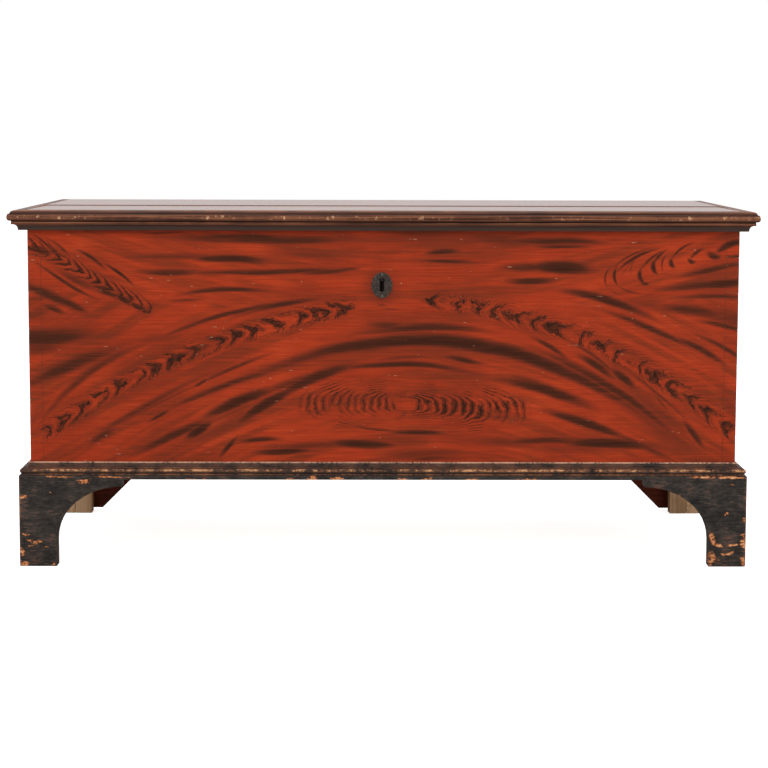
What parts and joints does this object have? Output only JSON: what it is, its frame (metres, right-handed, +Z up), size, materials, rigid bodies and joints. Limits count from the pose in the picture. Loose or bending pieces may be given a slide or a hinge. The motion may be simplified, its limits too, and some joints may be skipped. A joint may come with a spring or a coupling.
{
  "type": "blanket chest",
  "caption": "Dovetailed six-board blanket chest on a bracket base, with a moulded hinged lid, butt hinges, an open till and an iron chest lock.",
  "frame": {"origin": "on the floor, under the middle of the closed lid", "axes": "+X to the viewer's right along the chest, +Y to the back, +Z up; the front faces -Y"},
  "size_m": [1.27, 0.54, 0.6105],
  "materials": {
    "red_paint": "red grain-painted pine, satin, worn",
    "black_paint": "black painted pine, satin, worn through at the edges",
    "brown_paint": "dark brown painted pine, satin, worn at the edges",
    "bare_pine": "bare aged pine, matt",
    "iron": "dark wrought iron, dull, lightly rusted"
  },
  "bodies": {
    "chest": {"base_front": "black_paint", "base_left": "black_paint", "base_right": "black_paint", "rear_bracket_left": "red_paint", "rear_bracket_right": "red_paint", "glue_block_front_left": "bare_pine", "glue_block_front_right": "bare_pine", "glue_block_rear_left": "bare_pine", "glue_block_rear_right": "bare_pine", "base_moulding_front": "black_paint", "base_moulding_left": "black_paint", "base_moulding_right": "black_paint", "case_front": "red_paint", "case_back": "red_paint", "case_left": "red_paint", "case_right": "red_paint", "bottom_board_front": "bare_pine", "bottom_board_rear": "bare_pine", "till_side": "bare_pine", "till_bottom": "bare_pine", "escutcheon": "iron", "escutcheon_nail_1": "iron", "escutcheon_nail_2": "iron", "lock_plate": "iron", "lock_cap": "iron", "lock_spring": "iron", "lock_drill_pin": "iron", "lock_ward": "iron", "lock_selvage_screw_1": "iron", "lock_selvage_screw_2": "iron", "lock_plate_screw_1": "iron", "lock_plate_screw_2": "iron", "hinge_case_leaf_left": "iron", "hinge_case_leaf_right": "iron", "hinge_pin_left": "iron", "hinge_pin_right": "iron", "hinge_case_screw_left_1": "iron", "hinge_case_screw_left_2": "iron", "hinge_case_screw_left_3": "iron", "hinge_case_screw_right_1": "iron", "hinge_case_screw_right_2": "iron", "hinge_case_screw_right_3": "iron"},
    "lid": {"lid_board_front": "brown_paint", "lid_board_rear": "brown_paint", "lid_moulding_front": "brown_paint", "lid_moulding_left": "brown_paint", "lid_moulding_right": "brown_paint", "hinge_lid_leaf_left": "iron", "hinge_lid_leaf_right": "iron", "hinge_lid_screw_left_1": "iron", "hinge_lid_screw_left_2": "iron", "hinge_lid_screw_left_3": "iron", "hinge_lid_screw_right_1": "iron", "hinge_lid_screw_right_2": "iron", "hinge_lid_screw_right_3": "iron", "catch_plate": "iron", "catch_screw_1": "iron", "catch_screw_2": "iron"},
    "bolt": {"lock_bolt": "iron"}
  },
  "joints": [
    {"name": "lid_hinge", "type": "hinge", "parent": "chest", "child": "lid", "pos_m": [0, 0.266, 0.58835], "axis": [-1, 0, 0], "range_deg": [0, 105]},
    {"name": "bolt_slide", "type": "slide", "parent": "chest", "child": "bolt", "axis": [1, 0, 0], "range_m": [0, 0.01]}
  ]
}
